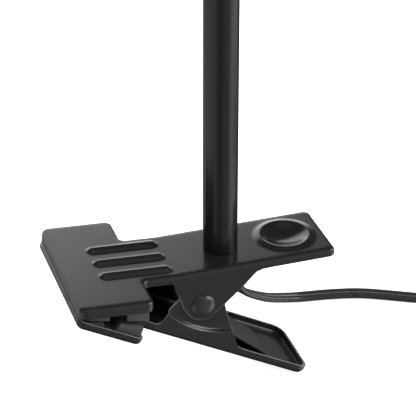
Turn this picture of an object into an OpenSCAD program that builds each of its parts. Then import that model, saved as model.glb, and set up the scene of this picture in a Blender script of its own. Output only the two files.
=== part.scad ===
// Clip-on reading lamp: a sprung sheet-metal clamp, a straight tube stem, a swivelling and
// tilting spun shade, and a flat twin cord with an in-line rocker switch and a two-pin plug.
// Origin: the middle of the clamp's grip, between the two pads. +X runs from the grip to the
// thumb end of the levers, +Y to the side where the cord comes out, +Z up along the stem.

/* [Clamp levers] */
// Width of both levers, outside their folded flanges
bar_w = 28; // [26:0.5:34]
// From the stem's axis to the thumb end of the upper lever
handle_l = 37.6; // [36:0.2:50]
// Width of the jaws across their wings
jaw_w = 55.2; // [46:0.2:64]
// From the stem's axis to the front edge of the upper jaw
jaw_front = 57; // [54:0.1:62]
// From the stem's axis to the rear edge of the upper jaw's wings
jaw_rear = 31.8; // [30:0.1:33]
// How far the upper jaw rises above the plane of the bar, in degrees
jaw_rise = 3.85; // [2:0.05:5]
// Thickness of the steel sheet
sheet = 1; // [0.8:0.1:1.2]
// Height of the folded edge, outside
flange_h = 3; // [2.6:0.1:3.4]
// Downward slope of the lower lever when the jaws are shut, in degrees
lever_slope = 29; // [28:0.5:31]
// From the pivot to the thumb end of the lower lever
lower_handle_l = 51; // [46:0.1:56]
// From the pivot to the front edge of the lower jaw
lower_jaw_l = 46.4; // [45:0.1:47.5]

/* [Stem] */
// Outside diameter of the tube
stem_d = 12; // [11:0.5:13]
// Height of the tube above the upper lever
stem_h = 250; // [180:5:400]
// Wall of the tube
stem_wall = 1; // [0.8:0.1:1.2]

/* [Head] */
// How far the shade points below the horizontal as stored, in degrees
head_slope = 30; // [0:1:38]
// Radius of the shade at its mouth
mouth_r = 45; // [38:1:60]
// Radius of the shade's neck
neck_r = 20; // [19:0.5:26]
// From the tilt pivot to the shade's mouth
mouth_l = 124; // [122:1:150]
// Radius of the bulb
bulb_r = 22.5; // [20:0.5:24]

/* [Cord] */
// Width of the flat twin cord
cord_w = 5.2; // [5:0.1:5.6]
// Thickness of the flat twin cord
cord_t = 2.8; // [2.6:0.1:3]
// Number of turns in the stored coil
coil_turns = 8.5; // [6.5:1:10.5]

/* [Hidden] */
$fn = 48;
eps = 0.01;
half_w = bar_w / 2;
stem_x = 45;            // grip to stem axis
plate_top = 5;          // top face of the upper lever's bar above the grip
bend_x = -19.3;         // where the upper jaw starts to rise
pivot = [-10.8, -13.5]; // x and z of the clamp's pivot from the stem's foot
rivet_r = 2;
running = 0.05;         // radial clearance of every running fit
rib_ys = [-8.4, 0, 8.4];
rib_x = [-45.6, -20.3];
rib_half = 2.15;
rib_up = 1.3;
dish_x = 24;
dish_r = 11;
crest_r = 9;
crest_h = 1.2;
dish_deep = 2;
ear_t = sheet;
ear_r = 5.9;
lower_floor = 15.2;     // underside of the lower lever, from the pivot
lower_wing_rear = 21.7;
lower_ear_y = 11.55;    // inner face of the lower lever's pressed-in ears
joggle_r = 10.8;        // where the lower ears step inwards, from the pivot
spring_t = 0.8;
spring_half = 8;
loop_r = 5.4;           // inside of the spring's loop
sleeve_r = 4.4;
nipple_r = 5;
ground = -46.5;         // the surface that the thumb end of the lower lever and the cord lie on

// Swivel and tilt joint, heights above the stem's top
flange_top = 4;
fork_z = 4.2;
fork_base_h = 6;
fork_r = 10;
fork_gap = 7;
fork_t = 4;
tilt_up = fork_z + fork_base_h + 18;
tongue_half = 6;
tongue_r = 8.5;
washer_t = 0.9;
screw_r = 2.5;
knob_r = 8;
stub_r = 6;
stub_end = 26;

// Shade, lampholder and bulb, along the head's own axis from the tilt pivot
shade_t = 0.9;
shade_rear = stub_end;
holder_r = 13;
holder_end = 66;
bulb_foot = 44;
globe_l = mouth_l - 28;

// In-line switch, coil and plug
cord_z = ground + cord_t / 2;
switch_x = [166, 228];
switch_y = 8;
switch_half = 13;
switch_h = 18;
switch_split = 8;
switch_cord_z = ground + 3.6;
rocker_z = ground + 15.5;
coil_pitch = 5.3;
layer_h = 2.9;
layers = 4;
coil_mean = 28;
coil_out = coil_mean + coil_pitch * coil_turns / layers / 2;
coil_in = 2 * coil_mean - coil_out;
coil_at = [265, switch_y - coil_out];
coil_base = ground + 0.8;
coil_h = layers * layer_h;
tie_t = 0.8;
tie_w = 7;
plug_at = [222, -45, ground + 7];
plug_l = 36;
pin_r = 2;
pin_l = 19;
pin_gap = 18.6;

// The cord's route where it isn't coiled
lead_route = [
    [49.2, 7.3, -9.7], [51, 10.4, -11], [52.5, 13, -12.7], [54.5, 16.4, -16.5],
    [56.8, 20, -23], [60.2, 23, -30.5], [67, 26.2, -36], [73, 28.2, -39.8],
    [78, 29.9, -42], [83, 31, -43.6], [88.5, 32, cord_z], [96, 31, cord_z],
    [103.5, 29.5, cord_z], [111, 27.5, cord_z], [118, 24, cord_z],
    [124.5, 20.5, cord_z], [131, 17, cord_z], [138, 13.5, cord_z],
    [145, 11, cord_z], [152, 9, cord_z], [159, 8, -44], [168, 8, switch_cord_z]];
link_route = [
    [226, 8, switch_cord_z], [236, 8, -43.2], [246, 8, -44.1],
    [256, 8, coil_base + cord_t / 2], [coil_at[0], 8, coil_base + cord_t / 2]];
tail_z = coil_base + coil_h - layer_h / 2;
tail_route = [
    [coil_at[0], coil_at[1] - coil_out, tail_z], [254, -59, tail_z - 0.4],
    [243, -56.2, -37.6], [232, -50.6, -38.8], [223, -46, -39.4], [214, -45, plug_at[2]]];

// ---------- places ----------
module at_stem() translate([stem_x, 0, plate_top]) children();
module at_pivot() at_stem() translate([pivot[0], 0, pivot[1]]) children();
module on_lever() at_pivot() rotate([0, lever_slope, 0]) children();
module on_jaw() at_stem() translate([bend_x, 0, 0]) rotate([0, jaw_rise, 0])
    translate([-bend_x, 0, 0]) children();
module at_top() at_stem() translate([0, 0, stem_h]) children();
// The head's frame: its local +Z is the way the lamp shines
module on_head() at_top() translate([0, 0, tilt_up])
    rotate([0, 180 - head_slope, 0]) rotate([0, 90, 0]) children();
module both_sides() for (s = [0, 1]) mirror([0, s, 0]) children();
module across(half) rotate([90, 0, 0]) translate([0, 0, -half])
    linear_extrude(2 * half) children();
module tube(r, bore, h) difference() {
    cylinder(r = r, h = h);
    translate([0, 0, -1]) cylinder(r = bore, h = h + 2);
}

// ---------- sheet-metal pans ----------
module round_rect(x0, x1, half, r) {
    translate([x0 + r, -half]) square([x1 - x0 - 2 * r, 2 * half]);
    translate([x0, -half + r]) square([x1 - x0, 2 * half - 2 * r]);
    for (x = [x0 + r, x1 - r], y = [r - half, half - r]) translate([x, y]) circle(r);
}
module pan(x0, x1, half, r, h = flange_h)
    translate([0, 0, -h]) linear_extrude(h) round_rect(x0, x1, half, r);
module hollow(x0, x1, half, r, h = flange_h)
    translate([0, 0, -h - 1]) linear_extrude(h + 1 - sheet) round_rect(x0, x1, half, r);

// A pressed rib: a capsule that stands rib_up proud of the sheet
module rib(y) {
    r = (rib_half * rib_half + rib_up * rib_up) / (2 * rib_up);
    translate([0, y, rib_up - r]) {
        translate([rib_x[0] + r, 0, 0]) rotate([0, 90, 0])
            cylinder(r = r, h = rib_x[1] - rib_x[0] - 2 * r);
        for (x = [rib_x[0] + r, rib_x[1] - r]) translate([x, 0, 0]) sphere(r);
    }
}

// Height of the thumb dish's skin at a radius
function dish_z(r) = r > crest_r ? crest_h * (1 + cos(180 * (r - crest_r) / (dish_r - crest_r))) / 2
    : crest_h - (crest_h + dish_deep) * (1 + cos(180 * r / crest_r)) / 2;
module thumb_dish() rotate_extrude() polygon(concat(
    [for (r = [0:1:dish_r]) [r, dish_z(r)]],
    [for (r = [dish_r:-1:0]) [r, dish_z(r) - sheet]]));

module upper_ear() rotate([90, 0, 0]) translate([0, 0, -half_w]) linear_extrude(ear_t) {
    polygon([[-21.1, -2], [-17.8, -13.4], [-16.4, -15.6], [-13, -18.9], [-8, -18.6],
        [-4.6, -16.2], [4.3, -8.3], [9.1, -3.4], [13, -2]]);
    translate(pivot) circle(ear_r);
}

module upper_lever() color([0.11, 0.11, 0.12]) difference() {
    union() {
        at_stem() pan(bend_x - 1, handle_l, half_w, 2.5);
        on_jaw() pan(-jaw_rear - 4, bend_x + 0.5, half_w, 0.6);
        on_jaw() pan(-jaw_front, -jaw_rear, jaw_w / 2, 2.5);
        on_jaw() for (y = rib_ys) rib(y);
        at_stem() both_sides() upper_ear();
    }
    at_stem() hollow(bend_x - 2, handle_l - sheet, half_w - sheet, 1.5);
    on_jaw() hollow(-jaw_rear - 6, bend_x + 2, half_w - sheet, 0.4);
    on_jaw() hollow(-jaw_front + sheet, -jaw_rear - sheet, jaw_w / 2 - sheet, 1.5, 3.2);
    at_stem() translate([0, 0, -sheet - 1]) cylinder(r = nipple_r + running, h = 6);
    at_stem() translate([dish_x, 0, -3]) cylinder(r = dish_r - 0.5, h = 6);
    at_pivot() rotate([90, 0, 0]) cylinder(r = rivet_r + running, h = 2 * bar_w, center = true);
}

module upper_lever_whole() {
    upper_lever();
    color([0.11, 0.11, 0.12]) at_stem() translate([dish_x, 0, 0]) thumb_dish();
}

module lower_ear() rotate([90, 0, 0]) difference() {
    translate([0, 0, -half_w]) linear_extrude(half_w - lower_ear_y) {
        polygon([[-11, -lower_floor + sheet / 2], [-11, -11.5], [-9.7, -5.6], [-8, -1.5],
            [0, 0], [9.2, 1.2], [15.5, -5.7], [21.4, -11.9], [21.4, -lower_floor + sheet / 2]]);
        circle(8.2);
    }
    // above the joggle the ear is one sheet, stepped inwards
    translate([0, 0, -half_w - 1]) cylinder(r = joggle_r, h = half_w + 1 - lower_ear_y - sheet);
    // below it the ear is one sheet, flush with the lever's side
    difference() {
        translate([-30, -30, -half_w + sheet]) cube([60, 60, half_w]);
        translate([0, 0, -half_w]) cylinder(r = joggle_r + sheet, h = half_w + 1);
    }
}

module lower_lever() color([0.1, 0.1, 0.11]) difference() {
    union() {
        on_lever() mirror([0, 0, 1]) translate([0, 0, lower_floor])
            pan(-lower_wing_rear - 2, lower_handle_l, half_w, 2.5);
        on_lever() mirror([0, 0, 1]) translate([0, 0, lower_floor])
            pan(-lower_jaw_l, -lower_wing_rear, jaw_w / 2, 2.5);
        on_lever() both_sides() lower_ear();
    }
    on_lever() mirror([0, 0, 1]) translate([0, 0, lower_floor]) difference() {
        hollow(-lower_wing_rear - 4, lower_handle_l - sheet, half_w - sheet, 1.5);
        for (s = [-1, 1]) translate([-12, s * (half_w - 2.4) - 2, -20]) cube([34, 4, 20]);
    }
    on_lever() mirror([0, 0, 1]) translate([0, 0, lower_floor])
        hollow(-lower_jaw_l + sheet, -lower_wing_rear - sheet, jaw_w / 2 - sheet, 1.5);
    at_pivot() rotate([90, 0, 0]) cylinder(r = rivet_r + running, h = 2 * bar_w, center = true);
}

// ---------- pads, spring and pivot ----------
module upper_pad() color([0.2, 0.2, 0.21]) at_stem() across(jaw_w / 2 - 1.7)
    polygon([[-54.9, 0.9], [-54.9, -2.9], [-46.8, -4.7], [-46.8, -3.1], [-41, -3.1],
        [-41, -6], [-33.4, -7.4], [-33.4, -0.6]]);

module lower_pad() color([0.2, 0.2, 0.21]) on_lever() across(jaw_w / 2 - 1.7)
    polygon([[-44.6, -14.2], [-44.6, -12.9], [-37.6, -10.9], [-36.8, -13], [-32.6, -13],
        [-31.9, -9.5], [-23.4, -8.1], [-22.7, -12], [-22.8, -14.2]]);

module strip(a, b) {
    d = b - a;
    translate(a) rotate(atan2(d[1], d[0])) translate([0, -spring_t / 2])
        square([norm(d), spring_t]);
}
module leaf_spring() color([0.12, 0.12, 0.13]) at_stem() difference() {
    across(spring_half) {
        mid = loop_r + spring_t / 2;
        flat_end = -7.5;
        up = 137.2;
        down = 229;
        top_at = pivot + mid * [cos(up), sin(up)];
        low_at = pivot + mid * [cos(down), sin(down)];
        strip([flat_end, -sheet - spring_t / 2], [9, -sheet - spring_t / 2]);
        strip(top_at, [flat_end, -sheet - spring_t / 2]);
        translate(pivot) difference() {
            circle(loop_r + spring_t);
            circle(loop_r);
            polygon([[0, 0], 20 * [cos(down), sin(down)], [20, -20], [20, 20],
                20 * [cos(up), sin(up)]]);
        }
        strip(low_at, low_at + 38.6 * [cos(down + 90), sin(down + 90)]);
    }
    translate([0, 0, -3]) cylinder(r = nipple_r + 0.2, h = 6);
}

module rivet_head() {
    r = 6.05;
    intersection() {
        translate([0, 0, 1.6 - r]) sphere(r);
        cylinder(r = 6, h = 3);
    }
}
module pivot_rivet() color([0.12, 0.12, 0.13]) at_pivot() {
    rotate([90, 0, 0]) cylinder(r = rivet_r, h = bar_w + 0.2, center = true);
    for (a = [90, -90]) rotate([a, 0, 0]) translate([0, 0, half_w]) rivet_head();
}
module pivot_sleeve() color("silver") at_pivot() rotate([90, 0, 0]) translate([0, 0, -11.3])
    tube(sleeve_r, rivet_r + running, 22.6);

// ---------- stem ----------
module stem_tube() color([0.09, 0.09, 0.1]) at_stem()
    tube(stem_d / 2, stem_d / 2 - stem_wall, stem_h);
module foot_insert() color("gray") at_stem() tube(stem_d / 2 - stem_wall, nipple_r - 1, 12);
module stem_nipple() color("silver") at_stem() difference() {
    union() {
        translate([0, 0, -9]) cylinder(r = nipple_r, h = 9);
        cylinder(r = nipple_r - 1, h = 10);
    }
    translate([0, 0, -10]) cylinder(r = 3, h = 22);
}
module lock_washer() color("silver") at_stem() translate([0, 0, -sheet - spring_t - 1])
    tube(7, nipple_r + running, 1);
module stem_nut() color("silver") at_stem() translate([0, 0, -sheet - spring_t - 5]) difference() {
    rotate(30) cylinder(r = 8.08, h = 4, $fn = 6);
    translate([0, 0, -1]) cylinder(r = nipple_r, h = 6);
}
// Moulded bush: screws on the nipple's foot and turns the cord out sideways
module cord_bush() color([0.08, 0.08, 0.08]) at_stem() difference() {
    union() {
        translate([0, 0, -15.4]) cylinder(r = 5.7, h = 8.4);
        bush_nose() cylinder(r = 4.2, h = 9);
    }
    translate([0, 0, -9]) cylinder(r = nipple_r, h = 3);
    translate([0, 0, -11.6]) cylinder(r = 3, h = 4);
    bush_nose() cylinder(r = cord_w / 2 + 0.1, h = 12);
}
module bush_nose() translate([0, 0, -11.6]) rotate([0, 0, 60]) rotate([0, 110, 0]) children();
module stem_wires() color([0.55, 0.3, 0.15]) at_stem() for (y = [-1.2, 1.2])
    translate([0, y, -8.5]) cylinder(r = 1, h = stem_h + 18);

// ---------- swivel and tilt ----------
module swivel_base() color([0.1, 0.1, 0.11]) at_top() difference() {
    union() {
        translate([0, 0, -12]) cylinder(r = stem_d / 2 - stem_wall, h = 12);
        cylinder(r = 8, h = flange_top);
        cylinder(r = 4, h = fork_z + fork_base_h + 3.4);
    }
    translate([0, 0, -13]) cylinder(r = 2.4, h = 40);
}
module swivel_nut() color("silver") at_top() translate([0, 0, fork_z + fork_base_h + 0.2])
    difference() {
        cylinder(r = 6.9, h = 3, $fn = 6);
        translate([0, 0, -1]) cylinder(r = 4, h = 5);
    }
module knuckle_fork() color([0.1, 0.1, 0.11]) at_top() difference() {
    union() {
        translate([0, 0, fork_z]) cylinder(r = fork_r, h = fork_base_h);
        both_sides() rotate([90, 0, 0]) translate([0, 0, -fork_gap - fork_t])
            linear_extrude(fork_t) {
                translate([-5, fork_z + 1]) square([10, tilt_up - fork_z - 1]);
                translate([0, tilt_up]) circle(7.5);
            }
    }
    translate([0, 0, fork_z - 1]) cylinder(r = 4 + running, h = fork_base_h + 2);
    translate([0, 0, tilt_up]) rotate([90, 0, 0])
        cylinder(r = screw_r + running, h = 40, center = true);
}
module knuckle_tongue() color([0.1, 0.1, 0.11]) on_head() difference() {
    union() {
        rotate([90, 0, 0]) cylinder(r = tongue_r, h = 2 * tongue_half, center = true);
        cylinder(r = stub_r, h = stub_end);
        cylinder(r = nipple_r, h = stub_end + 12);
    }
    translate([0, 0, 4]) cylinder(r = 3, h = 60);
    rotate([90, 0, 0]) cylinder(r = screw_r + running, h = 40, center = true);
}
module friction_washers() color([0.7, 0.7, 0.65]) on_head() both_sides()
    rotate([90, 0, 0]) translate([0, 0, -tongue_half - washer_t])
        tube(7, screw_r + running, washer_t);
module tilt_screw() color("silver") at_top() translate([0, 0, tilt_up]) {
    rotate([90, 0, 0]) cylinder(r = screw_r, h = 2 * (fork_gap + fork_t) + 9, center = true);
    rotate([90, 0, 0]) translate([0, 0, fork_gap + fork_t]) cylinder(r = 4.6, h = 3.2);
}
module tilt_knob() color([0.08, 0.08, 0.08]) at_top() translate([0, 0, tilt_up])
    rotate([-90, 0, 0]) translate([0, 0, fork_gap + fork_t + 0.3]) difference() {
        union() {
            cylinder(r = knob_r, h = 8);
            for (a = [0:30:330]) rotate(a) translate([knob_r - 0.4, 0, 0])
                cylinder(r = 1.2, h = 8);
        }
        translate([0, 0, -1]) cylinder(r = screw_r + running, h = 7);
    }

// ---------- shade, lampholder and bulb ----------
// Outside radius of the shade along its axis, and the same profile set in by the wall
function shade_side(t) = [
    [nipple_r + running, shade_rear], [neck_r - 5, shade_rear],
    for (a = [0:15:90]) [neck_r - 5 + 5 * sin(a), shade_rear + 5 - 5 * cos(a)],
    [neck_r, 60], [neck_r + 2, 66],
    for (k = [1:6]) [neck_r + 2 + (mouth_r - neck_r - 2) * k / 6,
        66 + (mouth_l - 66) * pow(k / 6, 1.25)]];
module shade() color([0.1, 0.1, 0.11]) on_head() rotate_extrude() {
    out = shade_side(0);
    n = len(out);
    polygon(concat(out, [for (i = [n - 1:-1:0])
        [i == 0 ? out[i][0] : out[i][0] - shade_t, max(out[i][1], shade_rear + shade_t)]]));
}
module shade_nut() color("silver") on_head() translate([0, 0, shade_rear + shade_t]) difference() {
    cylinder(r = 7.5, h = 3, $fn = 6);
    translate([0, 0, -1]) cylinder(r = nipple_r, h = 5);
}
module lampholder() color([0.08, 0.08, 0.08]) on_head() difference() {
    union() {
        translate([0, 0, 30.2]) cylinder(r = 8, h = 8);
        translate([0, 0, 36]) cylinder(r = holder_r, h = 16);
        translate([0, 0, 52]) cylinder(r = holder_r - 1, h = holder_end - 52);
    }
    translate([0, 0, 29]) cylinder(r = nipple_r, h = stub_end + 12 - 29);
    translate([0, 0, 41]) cylinder(r = 7.4, h = 40);
    for (y = [-4.4, 4.4]) translate([0, y, 37]) cylinder(r = 1.2, h = 5);
}
module holder_contacts() color("gold") on_head() {
    translate([-3, -2, 41]) cube([6, 4, 0.6]);
    translate([-1.5, -2, 41]) cube([3, 4, 2.4]);
}
module bulb_cap() color("silver") on_head() {
    translate([0, 0, bulb_foot]) cylinder(r1 = 3, r2 = 6, h = 3);
    translate([0, 0, bulb_foot + 3]) cylinder(r = 6.9, h = 20);
}
module bulb_housing() color("white") on_head() rotate_extrude() polygon([
    [0, bulb_foot + 23], [7.2, bulb_foot + 23], [9, 70], [14, 78], [17, globe_l - 13.6],
    [0, globe_l - 13.6]]);
module bulb_globe() color([0.95, 0.95, 0.9]) on_head() intersection() {
    translate([0, 0, globe_l]) difference() {
        sphere(bulb_r);
        sphere(bulb_r - 1.2);
    }
    translate([0, 0, globe_l - 13.6]) cylinder(r = 30, h = 60);
}
module head_wires() color([0.2, 0.35, 0.6]) on_head() for (y = [-1.2, 1.2])
    translate([0, y, 9]) cylinder(r = 1, h = 28.8);

// ---------- cord ----------
cord_sides = 10;
function cord_section() = [for (i = [0:cord_sides - 1]) let (a = 360 * i / cord_sides)
    [cord_w / 2 * cos(a), cord_t / 2 * sin(a)]];
// A smooth cubic spline that starts and ends on the route's own ends
function on_curve(p, i) = let (n = len(p) - 1)
    i == 0 ? p[0] : i == n ? p[n] : (p[i - 1] + 4 * p[i] + p[i + 1]) / 6;
function unit(v) = v / norm(v);
module cord_run(route) {
    rings = len(route) - 1;
    n = cord_sides;
    line = [for (i = [0:rings]) on_curve(route, i)];
    points = [for (i = [0:rings]) let (
        along = unit(line[min(i + 1, rings)] - line[max(i - 1, 0)]),
        side = unit(cross([0, 0, 1], along)), up = cross(along, side))
        for (q = cord_section()) line[i] + q[0] * side + q[1] * up];
    sides = [for (i = [0:rings - 1], k = [0:n - 1])
        [i * n + k, i * n + (k + 1) % n, (i + 1) * n + (k + 1) % n, (i + 1) * n + k]];
    polyhedron(points, concat([[for (k = [n - 1:-1:0]) k]], sides,
        [[for (k = [0:n - 1]) rings * n + k]]));
}
module cord_lead() color([0.07, 0.07, 0.07]) cord_run(lead_route);
module cord_link() color([0.07, 0.07, 0.07]) cord_run(link_route);
module cord_tail() color([0.07, 0.07, 0.07]) cord_run(tail_route);
module coil_section(grow) {
    low = coil_in - cord_w / 2 - grow;
    translate([low, -grow]) square([coil_out + cord_w / 2 + grow - low, coil_h + 2 * grow]);
}
module at_coil() translate([coil_at[0], coil_at[1], coil_base]) children();
module cord_coil() color([0.07, 0.07, 0.07]) at_coil() rotate_extrude() coil_section(0);
module coil_tie() color([0.16, 0.16, 0.16]) at_coil() intersection() {
    difference() {
        rotate_extrude() coil_section(tie_t);
        rotate_extrude() coil_section(0);
    }
    translate([0, -tie_w / 2, -5]) cube([60, tie_w, 30]);
}

// ---------- in-line switch ----------
module switch_block(z0, z1, wall) {
    x0 = switch_x[0] + wall;
    x1 = switch_x[1] - wall;
    half = switch_half - wall;
    translate([0, switch_y, z0]) linear_extrude(z1 - z0) round_rect(x0, x1, half, 6 - wall);
}
module cord_slot() for (x = [switch_x[0] - 1, switch_x[1] - 5])
    translate([x, switch_y - cord_w / 2, switch_cord_z - cord_t / 2]) cube([6, cord_w, cord_t]);
module switch_screw_places() for (x = [175, 219]) translate([x, switch_y + 8, 0]) children();
module switch_base() color([0.08, 0.08, 0.08]) difference() {
    switch_block(ground, ground + switch_split, 0);
    switch_block(ground + 1.8, ground + switch_split + 1, 1.8);
    cord_slot();
    switch_screw_places() translate([0, 0, ground - 1]) cylinder(r = 1.6, h = 5);
}
module switch_cover() color([0.08, 0.08, 0.08]) difference() {
    switch_block(ground + switch_split, ground + switch_h, 0);
    switch_block(ground + switch_split - 1, ground + switch_h - 1.8, 1.8);
    translate([187, switch_y - 6.5, ground + 10]) cube([20, 13, 20]);
}
module switch_rocker() color([0.1, 0.1, 0.1]) translate([197, switch_y, rocker_z])
    rotate([0, 8, 0]) difference() {
        union() {
            translate([-9, -6, -1]) cube([18, 12, 4.6]);
            rotate([90, 0, 0]) cylinder(r = 2, h = 12, center = true);
        }
        translate([0, 0, 24.6]) rotate([90, 0, 0]) cylinder(r = 22, h = 14, center = true);
    }
module switch_screws() color("silver") switch_screw_places()
    translate([0, 0, ground + 0.4]) {
        cylinder(r = 1.5, h = 9);
        cylinder(r = 1.55, h = 1.2);
    }
module switch_terminals() color("gold") for (x = [184, 204])
    translate([x, switch_y - 4, ground + 1.8]) cube([6, 8, 6]);

// ---------- plug ----------
module plug_body() color([0.08, 0.08, 0.08]) translate(plug_at) mirror([1, 0, 0]) difference() {
    union() {
        translate([16, -17.5, -7]) cube([20, 35, 14]);
        hull() {
            translate([15, -14, -7]) cube([4, 28, 14]);
            translate([0, -4.5, -3.5]) cube([3, 9, 7]);
        }
    }
    translate([-1, -cord_w / 2, -cord_t / 2]) cube([10, cord_w, cord_t]);
}
module plug_pins() color("silver") translate(plug_at) mirror([1, 0, 0])
    for (y = [-pin_gap / 2, pin_gap / 2]) translate([plug_l, y, 0]) rotate([0, 90, 0])
        cylinder(r = pin_r, h = pin_l);

upper_lever_whole();  // upper_lever
lower_lever();
upper_pad();
lower_pad();
leaf_spring();
pivot_rivet();
pivot_sleeve();
stem_tube();
foot_insert();
stem_nipple();
lock_washer();
stem_nut();
cord_bush();
stem_wires();
swivel_base();
swivel_nut();
knuckle_fork();
knuckle_tongue();
friction_washers();
tilt_screw();
tilt_knob();
shade();
shade_nut();
lampholder();
holder_contacts();
bulb_cap();
bulb_housing();
bulb_globe();
head_wires();
cord_lead();
switch_base();
switch_cover();
switch_rocker();
switch_screws();
switch_terminals();
cord_link();
cord_coil();
coil_tie();
cord_tail();
plug_body();
plug_pins();
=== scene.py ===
"""Clip-on reading lamp: the visual model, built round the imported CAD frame.

Shapes are given in millimetres in the CAD part's own frame, and become metres when a mesh is made.
"""

import math

import bmesh
import bpy
from mathutils import Matrix, Vector, geometry


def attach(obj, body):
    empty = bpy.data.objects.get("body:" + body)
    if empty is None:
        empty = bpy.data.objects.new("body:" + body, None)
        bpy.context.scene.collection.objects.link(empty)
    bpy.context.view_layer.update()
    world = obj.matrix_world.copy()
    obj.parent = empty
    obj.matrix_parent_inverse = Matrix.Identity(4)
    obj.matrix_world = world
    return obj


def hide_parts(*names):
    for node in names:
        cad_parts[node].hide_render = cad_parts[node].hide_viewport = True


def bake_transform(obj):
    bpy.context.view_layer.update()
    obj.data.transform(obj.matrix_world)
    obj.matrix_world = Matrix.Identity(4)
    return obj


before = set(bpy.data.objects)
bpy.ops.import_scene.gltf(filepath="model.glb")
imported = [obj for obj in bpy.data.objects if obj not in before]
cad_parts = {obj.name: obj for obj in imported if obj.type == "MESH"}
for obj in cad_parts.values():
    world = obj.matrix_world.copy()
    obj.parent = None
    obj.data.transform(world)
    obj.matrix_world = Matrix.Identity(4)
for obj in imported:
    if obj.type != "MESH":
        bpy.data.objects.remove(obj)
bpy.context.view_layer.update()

MM = 0.001
GROUND = -46.5


# ---------- places ----------
def shift(x, y, z):
    return Matrix.Translation((x, y, z))


def turn(degrees, axis):
    return Matrix.Rotation(math.radians(degrees), 4, axis)


# The stem's foot, in the upper lever's plan, is the datum of the clamp.
AT_STEM = shift(45, 0, 5)
PIVOT_X = -10.8
PIVOT_Z = -13.5
AT_PIVOT = AT_STEM @ shift(PIVOT_X, 0, PIVOT_Z)
ON_LEVER = AT_PIVOT @ turn(29, "Y")
STEM_H = 250
TILT_H = 28.2
AT_TOP = AT_STEM @ shift(0, 0, STEM_H)
AT_TILT = AT_TOP @ shift(0, 0, TILT_H)
ON_HEAD = AT_TILT @ turn(150, "Y") @ turn(90, "Y")
TO_Y = turn(-90, "X")
TO_MINUS_Y = turn(90, "X")
SIDEWAYS = Matrix(((1, 0, 0, 0), (0, 0, 1, 0), (0, 1, 0, 0), (0, 0, 0, 1)))
TO_MINUS_X = Matrix(((0, 0, -1, 0), (0, 1, 0, 0), (1, 0, 0, 0), (0, 0, 0, 1)))

# ---------- camera ----------
# BACK points from the object to the camera.
BACK = Vector((-0.27157, -0.81643, 0.50960))
camera = bpy.data.objects.new("camera", bpy.data.cameras.new("camera"))
bpy.context.scene.collection.objects.link(camera)
camera.data.sensor_width = 36
camera.data.lens = 154.4
camera.data.clip_start = 0.01
camera.data.clip_end = 20
camera.location = (-0.124417, -0.496100, 0.330890)
camera.rotation_mode = "QUATERNION"
camera.rotation_quaternion = (-BACK).to_track_quat("-Z", "Y")
bpy.context.scene.camera = camera


# ---------- materials ----------
def paint(name, color, rough, metal=0.0, grain=0.5, bump=0.25, height=0.02, mottle=0.15,
          spread=0.05, patch=6.0, coat=0.0, coat_rough=0.1, glow=0.0, level=0.5):
    """A finish with relief of the grain's size, and changes in colour and gloss over each patch.

    Sizes are in millimetres. mottle is a share of the colour and spread a change in roughness.
    """
    made = bpy.data.materials.new(name)
    made.use_nodes = True
    nodes = made.node_tree.nodes
    link = made.node_tree.links.new
    shader = nodes["Principled BSDF"]
    shader.inputs["Metallic"].default_value = metal
    shader.inputs["Specular IOR Level"].default_value = level
    shader.inputs["Coat Weight"].default_value = coat
    shader.inputs["Coat Roughness"].default_value = coat_rough
    shader.inputs["Subsurface Weight"].default_value = glow
    shader.inputs["Subsurface Scale"].default_value = 0.002
    where = nodes.new("ShaderNodeTexCoord").outputs["Object"]

    def noise(size, detail, seed):
        tex = nodes.new("ShaderNodeTexNoise")
        tex.noise_dimensions = "4D"
        tex.inputs["W"].default_value = seed
        tex.inputs["Scale"].default_value = 1 / (size * MM)
        tex.inputs["Detail"].default_value = detail
        link(where, tex.inputs["Vector"])
        return tex.outputs["Fac"]

    mix = nodes.new("ShaderNodeMix")
    mix.data_type = "RGBA"
    link(noise(patch, 4, 1.3), mix.inputs["Factor"])
    dark = [c * (1 - mottle) for c in color] + [1]
    light = [min(1, c * (1 + mottle)) for c in color] + [1]
    mix.inputs["A"].default_value = dark
    mix.inputs["B"].default_value = light
    link(mix.outputs["Result"], shader.inputs["Base Color"])
    span = nodes.new("ShaderNodeMapRange")
    span.inputs["From Min"].default_value = 0.3
    span.inputs["From Max"].default_value = 0.7
    span.inputs["To Min"].default_value = rough - spread
    span.inputs["To Max"].default_value = rough + spread
    link(noise(patch * 0.4, 5, 4.7), span.inputs["Value"])
    link(span.outputs["Result"], shader.inputs["Roughness"])
    relief = nodes.new("ShaderNodeBump")
    relief.inputs["Strength"].default_value = bump
    relief.inputs["Distance"].default_value = height * MM
    link(noise(grain, 2, 8.1), relief.inputs["Height"])
    link(relief.outputs["Normal"], shader.inputs["Normal"])
    return made


POWDER = paint("powder_coat", (0.0115, 0.0115, 0.012), 0.2, grain=0.35, bump=0.2, height=0.01,
               mottle=0.2, spread=0.02, patch=7)
# Cut edges of the sheet: thinner paint, and made lighter again as a painted highlight along the
# rims.
THIN_COAT_AND_HIGHLIGHT = paint("powder_coat_thin_painted_highlight", (0.19, 0.19, 0.195), 0.34, metal=0.25, grain=0.35, bump=0.3,
             height=0.012, mottle=0.35, spread=0.05, patch=2.5)
SATIN = paint("satin_lacquer", (0.0078, 0.0078, 0.0081), 0.26, grain=0.5, bump=0.2, height=0.006,
              mottle=0.15, spread=0.015, patch=14)
RUBBER = paint("pad_rubber", (0.042, 0.042, 0.043), 0.72, grain=0.25, bump=0.6, height=0.05,
               mottle=0.2, spread=0.06, patch=4, level=0.35)
SPRING = paint("blackened_spring", (0.022, 0.022, 0.023), 0.4, grain=0.6, bump=0.3,
               mottle=0.3, spread=0.07, patch=5)
RIVET = paint("rivet_black", (0.017, 0.017, 0.0175), 0.26, grain=0.4, bump=0.3, height=0.01,
              spread=0.03, patch=3)
ZINC = paint("zinc_plate", (0.62, 0.63, 0.64), 0.3, metal=1, grain=0.3, bump=0.2, height=0.01,
             mottle=0.08, spread=0.08, patch=3)
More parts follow.
